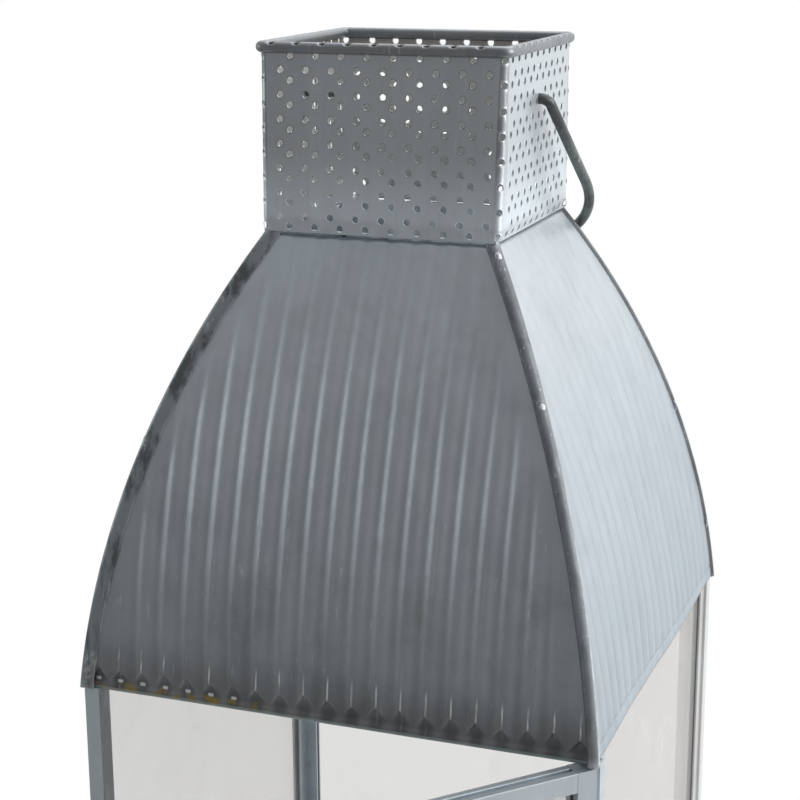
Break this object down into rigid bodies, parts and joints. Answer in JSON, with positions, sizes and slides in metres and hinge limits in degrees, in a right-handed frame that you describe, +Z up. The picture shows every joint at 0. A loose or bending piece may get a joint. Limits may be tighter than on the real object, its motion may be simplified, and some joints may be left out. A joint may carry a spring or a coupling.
{
  "type": "candle lantern",
  "caption": "Square glazed metal candle lantern with a hinged door, bowed corrugated roof, perforated chimney and swinging bail handle.",
  "frame": {"origin": "middle of the base pan's underside, on the surface the lantern stands on", "axes": "+Z up, -Y towards the door side, +X towards the hinge side of the door"},
  "size_m": [0.2512, 0.4345, 0.6258],
  "materials": {
    "roof_zinc": "aged dark grey zinc, satin with pale streaks",
    "frame_zinc": "blue-grey weathered zinc sheet",
    "chimney_zinc": "mottled mid-grey zinc, punched",
    "glass": "clear float glass, faint green edge",
    "bail_wire": "dull grey-green wire",
    "hinge_steel": "dull soldered steel",
    "knob_metal": "worn zinc"
  },
  "bodies": {
    "lantern": {"back_glass": "glass", "back_header": "frame_zinc", "back_left_post": "frame_zinc", "back_right_post": "frame_zinc", "back_sill": "frame_zinc", "base_pan": "frame_zinc", "candle_cup": "frame_zinc", "candle_dish": "frame_zinc", "chimney_back": "chimney_zinc", "chimney_front": "chimney_zinc", "chimney_left": "chimney_zinc", "chimney_right": "chimney_zinc", "chimney_rim_roll": "chimney_zinc", "front_header": "frame_zinc", "front_left_post": "frame_zinc", "front_right_post": "frame_zinc", "front_sill": "frame_zinc", "hinge_eye_bottom": "hinge_steel", "hinge_eye_top": "hinge_steel", "hip_bead_back_left": "roof_zinc", "hip_bead_back_right": "roof_zinc", "hip_bead_front_left": "roof_zinc", "hip_bead_front_right": "roof_zinc", "latch_rivet": "hinge_steel", "left_glass": "glass", "left_header": "frame_zinc", "left_sill": "frame_zinc", "neck_collar": "chimney_zinc", "right_glass": "glass", "right_header": "frame_zinc", "right_sill": "frame_zinc", "roof_panel_back": "roof_zinc", "roof_panel_front": "roof_zinc", "roof_panel_left": "roof_zinc", "roof_panel_right": "roof_zinc"},
    "door": {"door_bottom_rail": "frame_zinc", "door_free_stile": "frame_zinc", "door_glass": "glass", "door_hinge_stile": "frame_zinc", "door_knob": "knob_metal", "door_top_rail": "frame_zinc", "hinge_pin_bottom": "hinge_steel", "hinge_pin_top": "hinge_steel"},
    "bail": {"bail": "bail_wire"},
    "turn_button": {"turn_button": "hinge_steel"}
  },
  "joints": [
    {"name": "door_hinge", "type": "hinge", "parent": "lantern", "child": "door", "pos_m": [0.1224, -0.1219, 0.17], "axis": [0, 0, 1], "range_deg": [-48, 132]},
    {"name": "bail_swing", "type": "hinge", "parent": "lantern", "child": "bail", "pos_m": [0, 0, 0.5986], "axis": [1, 0, 0], "range_deg": [0, 271.6]},
    {"name": "button_turn", "type": "hinge", "parent": "lantern", "child": "turn_button", "pos_m": [-0.1199, -0.1246, 0.2], "axis": [0, -1, 0], "range_deg": [0, 90]}
  ]
}
